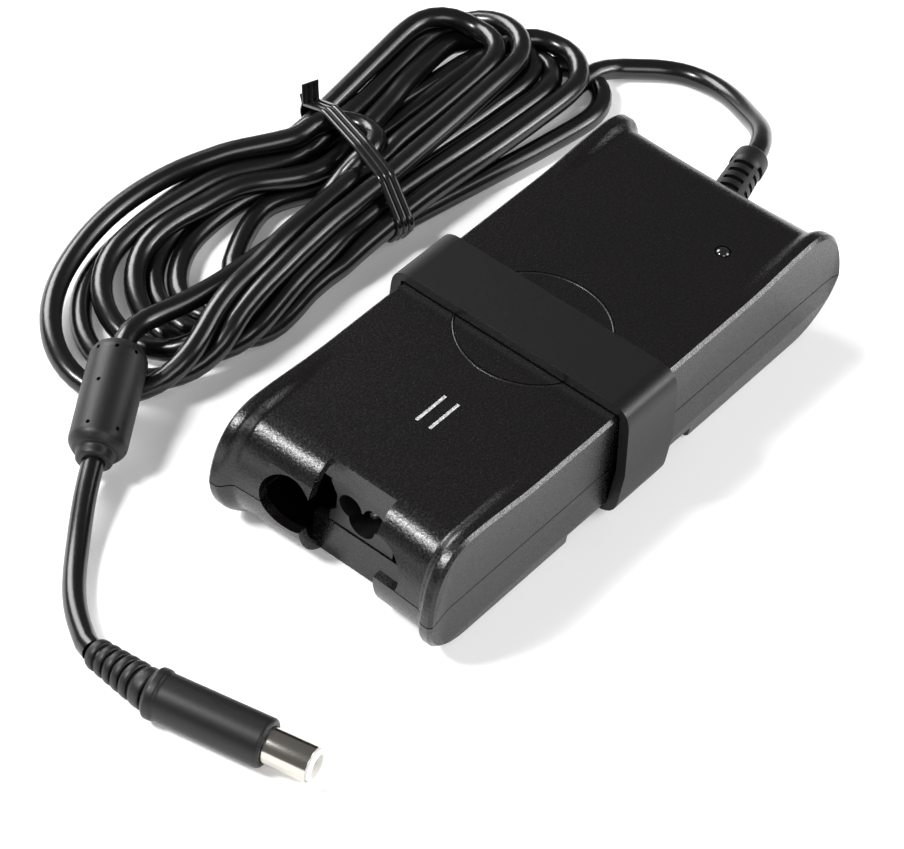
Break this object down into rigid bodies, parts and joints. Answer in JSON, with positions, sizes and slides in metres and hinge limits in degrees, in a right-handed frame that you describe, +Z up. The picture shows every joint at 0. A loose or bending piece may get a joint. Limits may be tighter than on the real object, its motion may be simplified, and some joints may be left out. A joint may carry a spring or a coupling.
{
  "type": "laptop power adapter",
  "caption": "Laptop power adapter: rounded case with a three-pin mains inlet and a rubber strap, and an output cord with a ferrite bead and a barrel plug, tied in a hank.",
  "frame": {"origin": "centre of the case's base, on the surface it rests on, the cord and its plug left out", "axes": "+X along the case from the mains inlet to the output cord, +Z up through the flat top"},
  "size_m": [0.2271, 0.1321, 0.0305],
  "materials": {
    "case_plastic": "fine spark-eroded texture, low sheen",
    "strap_rubber": "satin",
    "soft_pvc": "matte moulded PVC",
    "cord_pvc": "smooth extruded PVC jacket",
    "inlet_plastic": "satin",
    "nickel": "bright nickel plate",
    "white_plastic": "satin",
    "lens": "clear polished",
    "label": "satin film",
    "board": "solder mask",
    "steel": "rolled sheet",
    "copper": "enamelled copper wire",
    "ferrite": "sintered",
    "capacitor_sleeve": "shrunk sleeve",
    "film_yellow": "polyester film",
    "ceramic_blue": "dipped epoxy",
    "epoxy": "moulded epoxy",
    "clear_sheet": "polyester film",
    "fuse_glass": "clear",
    "tie_pvc": "PVC over steel wire"
  },
  "bodies": {
    "case": {"bridge_rectifier": "epoxy", "bulk_capacitor": "capacitor_sleeve", "choke_core": "ferrite", "choke_winding": "copper", "circuit_board": "board", "control_chip": "epoxy", "cord_gland": "soft_pvc", "cord_hank": "cord_pvc", "cord_in_ferrite": "cord_pvc", "cord_to_ferrite": "cord_pvc", "cord_to_hank": "cord_pvc", "cord_to_plug": "cord_pvc", "ferrite_core": "ferrite", "ferrite_cover": "soft_pvc", "fuse": "fuse_glass", "heatsink_screw": "steel", "inlet_housing": "inlet_plastic", "inlet_pin_earth": "nickel", "inlet_pin_line": "nickel", "inlet_pin_neutral": "nickel", "insulation_sheet": "clear_sheet", "led": "lens", "led_lens": "lens", "lower_shell": "case_plastic", "lower_shield": "steel", "optocoupler": "epoxy", "output_capacitor_1": "capacitor_sleeve", "output_capacitor_2": "capacitor_sleeve", "output_choke": "copper", "output_lead_negative": "cord_pvc", "output_lead_positive": "cord_pvc", "plug_barrel": "nickel", "plug_body": "soft_pvc", "plug_centre_pin": "nickel", "plug_inner_sleeve": "nickel", "plug_insulator": "white_plastic", "plug_strain_relief": "soft_pvc", "primary_heatsink": "steel", "primary_transistor": "epoxy", "rating_label": "label", "secondary_diode": "epoxy", "secondary_heatsink": "steel", "transformer_core": "ferrite", "transformer_winding": "film_yellow", "twist_tie": "tie_pvc", "upper_shell": "case_plastic", "upper_shield": "steel", "x_capacitor": "film_yellow", "y_capacitor": "ceramic_blue"},
    "strap": {"cord_strap": "strap_rubber"}
  },
  "joints": [
    {"name": "strap_slide", "type": "slide", "parent": "case", "child": "strap", "axis": [1, 0, 0], "range_m": [-0.012, 0.012]}
  ]
}
